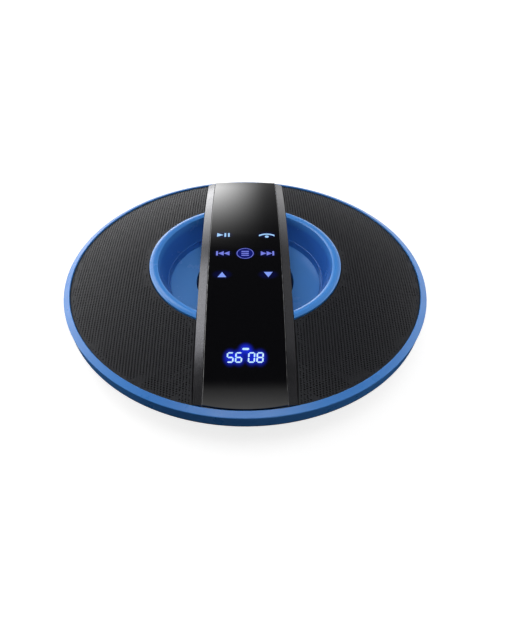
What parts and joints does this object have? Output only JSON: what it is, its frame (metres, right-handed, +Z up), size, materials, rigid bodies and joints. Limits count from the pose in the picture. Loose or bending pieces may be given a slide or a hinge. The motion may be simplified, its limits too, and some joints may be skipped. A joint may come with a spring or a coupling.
{
  "type": "bluetooth speaker",
  "caption": "Saucer-shaped wireless speaker: domed grilles, open centre bowl and an arched touch-key bridge with a lit display.",
  "frame": {"origin": "bottom centre, on the underside of the rubber feet", "axes": "+Z up; the display end of the bridge towards -Y, the sockets towards +Y, +X to the right"},
  "size_m": [0.2288, 0.2288, 0.0479],
  "materials": {
    "blue_gloss": "gloss moulded ABS",
    "navy_gloss": "gloss translucent cover",
    "black_shell": "fine textured ABS",
    "grille_mesh": "powder coated perforated steel",
    "inner_plastic": "moulded",
    "gunmetal_satin": "satin gunmetal lacquer",
    "panel_gloss": "polished acrylic, black back print",
    "legend_light": "lit window",
    "display_light": "lit window",
    "sensor_film": "polyimide film",
    "lamp_white": "LED package",
    "module_black": "moulded epoxy",
    "circuit_board": "solder mask",
    "radio_can": "tinned can",
    "capacitor_sleeve": "shrink sleeve",
    "connector_nylon": "nylon",
    "battery_wrap": "shrink wrap",
    "plated_steel": "nickel plated",
    "switch_black": "moulded",
    "foot_rubber": "matt",
    "zinc_screw": "zinc plated",
    "driver_steel": "black lacquer",
    "magnet_plated": "plated",
    "paper_cone": "coated pulp",
    "surround_rubber": "matt",
    "gasket_foam": "closed foam"
  },
  "bodies": {
    "root": {"amplifier_chip": "module_black", "audio_jack": "module_black", "battery_cell": "battery_wrap", "battery_strap": "inner_plastic", "bluetooth_module": "radio_can", "board_connectors": "connector_nylon", "board_screws": "zinc_screw", "bowl": "blue_gloss", "bowl_disc": "navy_gloss", "bowl_screws": "zinc_screw", "bridge_cover": "black_shell", "bridge_housing": "gunmetal_satin", "bridge_panel": "panel_gloss", "bridge_screws": "zinc_screw", "capacitors": "capacitor_sleeve", "card_socket": "plated_steel", "case_screws": "zinc_screw", "charge_socket": "plated_steel", "cover_screws": "zinc_screw", "display_module": "module_black", "display_ribbon": "sensor_film", "display_segments": "display_light", "driver_screws": "zinc_screw", "key_lamps": "lamp_white", "left_driver_frame": "driver_steel", "left_driver_gasket": "gasket_foam", "left_driver_magnet": "magnet_plated", "left_driver_surround": "surround_rubber", "left_grille": "grille_mesh", "left_grille_carrier": "inner_plastic", "lower_housing": "black_shell", "main_board": "circuit_board", "power_switch_body": "plated_steel", "right_driver_frame": "driver_steel", "right_driver_gasket": "gasket_foam", "right_driver_magnet": "magnet_plated", "right_driver_surround": "surround_rubber", "right_grille": "grille_mesh", "right_grille_carrier": "inner_plastic", "rubber_feet": "foot_rubber", "socket_board": "circuit_board", "touch_legends": "legend_light", "touch_sensor": "sensor_film", "upper_housing": "blue_gloss"},
    "left_cone": {"left_driver_cone": "paper_cone"},
    "right_cone": {"right_driver_cone": "paper_cone"},
    "power_switch": {"power_switch_knob": "switch_black"}
  },
  "joints": [
    {"name": "left_cone_travel", "type": "slide", "parent": "root", "child": "left_cone", "axis": [0, 0, 1], "range_m": [-0.0008, 0.0008], "stiffness_N_per_m": 1000, "deforming": ["left_driver_surround"]},
    {"name": "right_cone_travel", "type": "slide", "parent": "root", "child": "right_cone", "axis": [0, 0, 1], "range_m": [-0.0008, 0.0008], "stiffness_N_per_m": 1000, "deforming": ["right_driver_surround"]},
    {"name": "power_switch_slide", "type": "slide", "parent": "root", "child": "power_switch", "axis": [1, 0, 0], "range_m": [0, 0.002]}
  ]
}
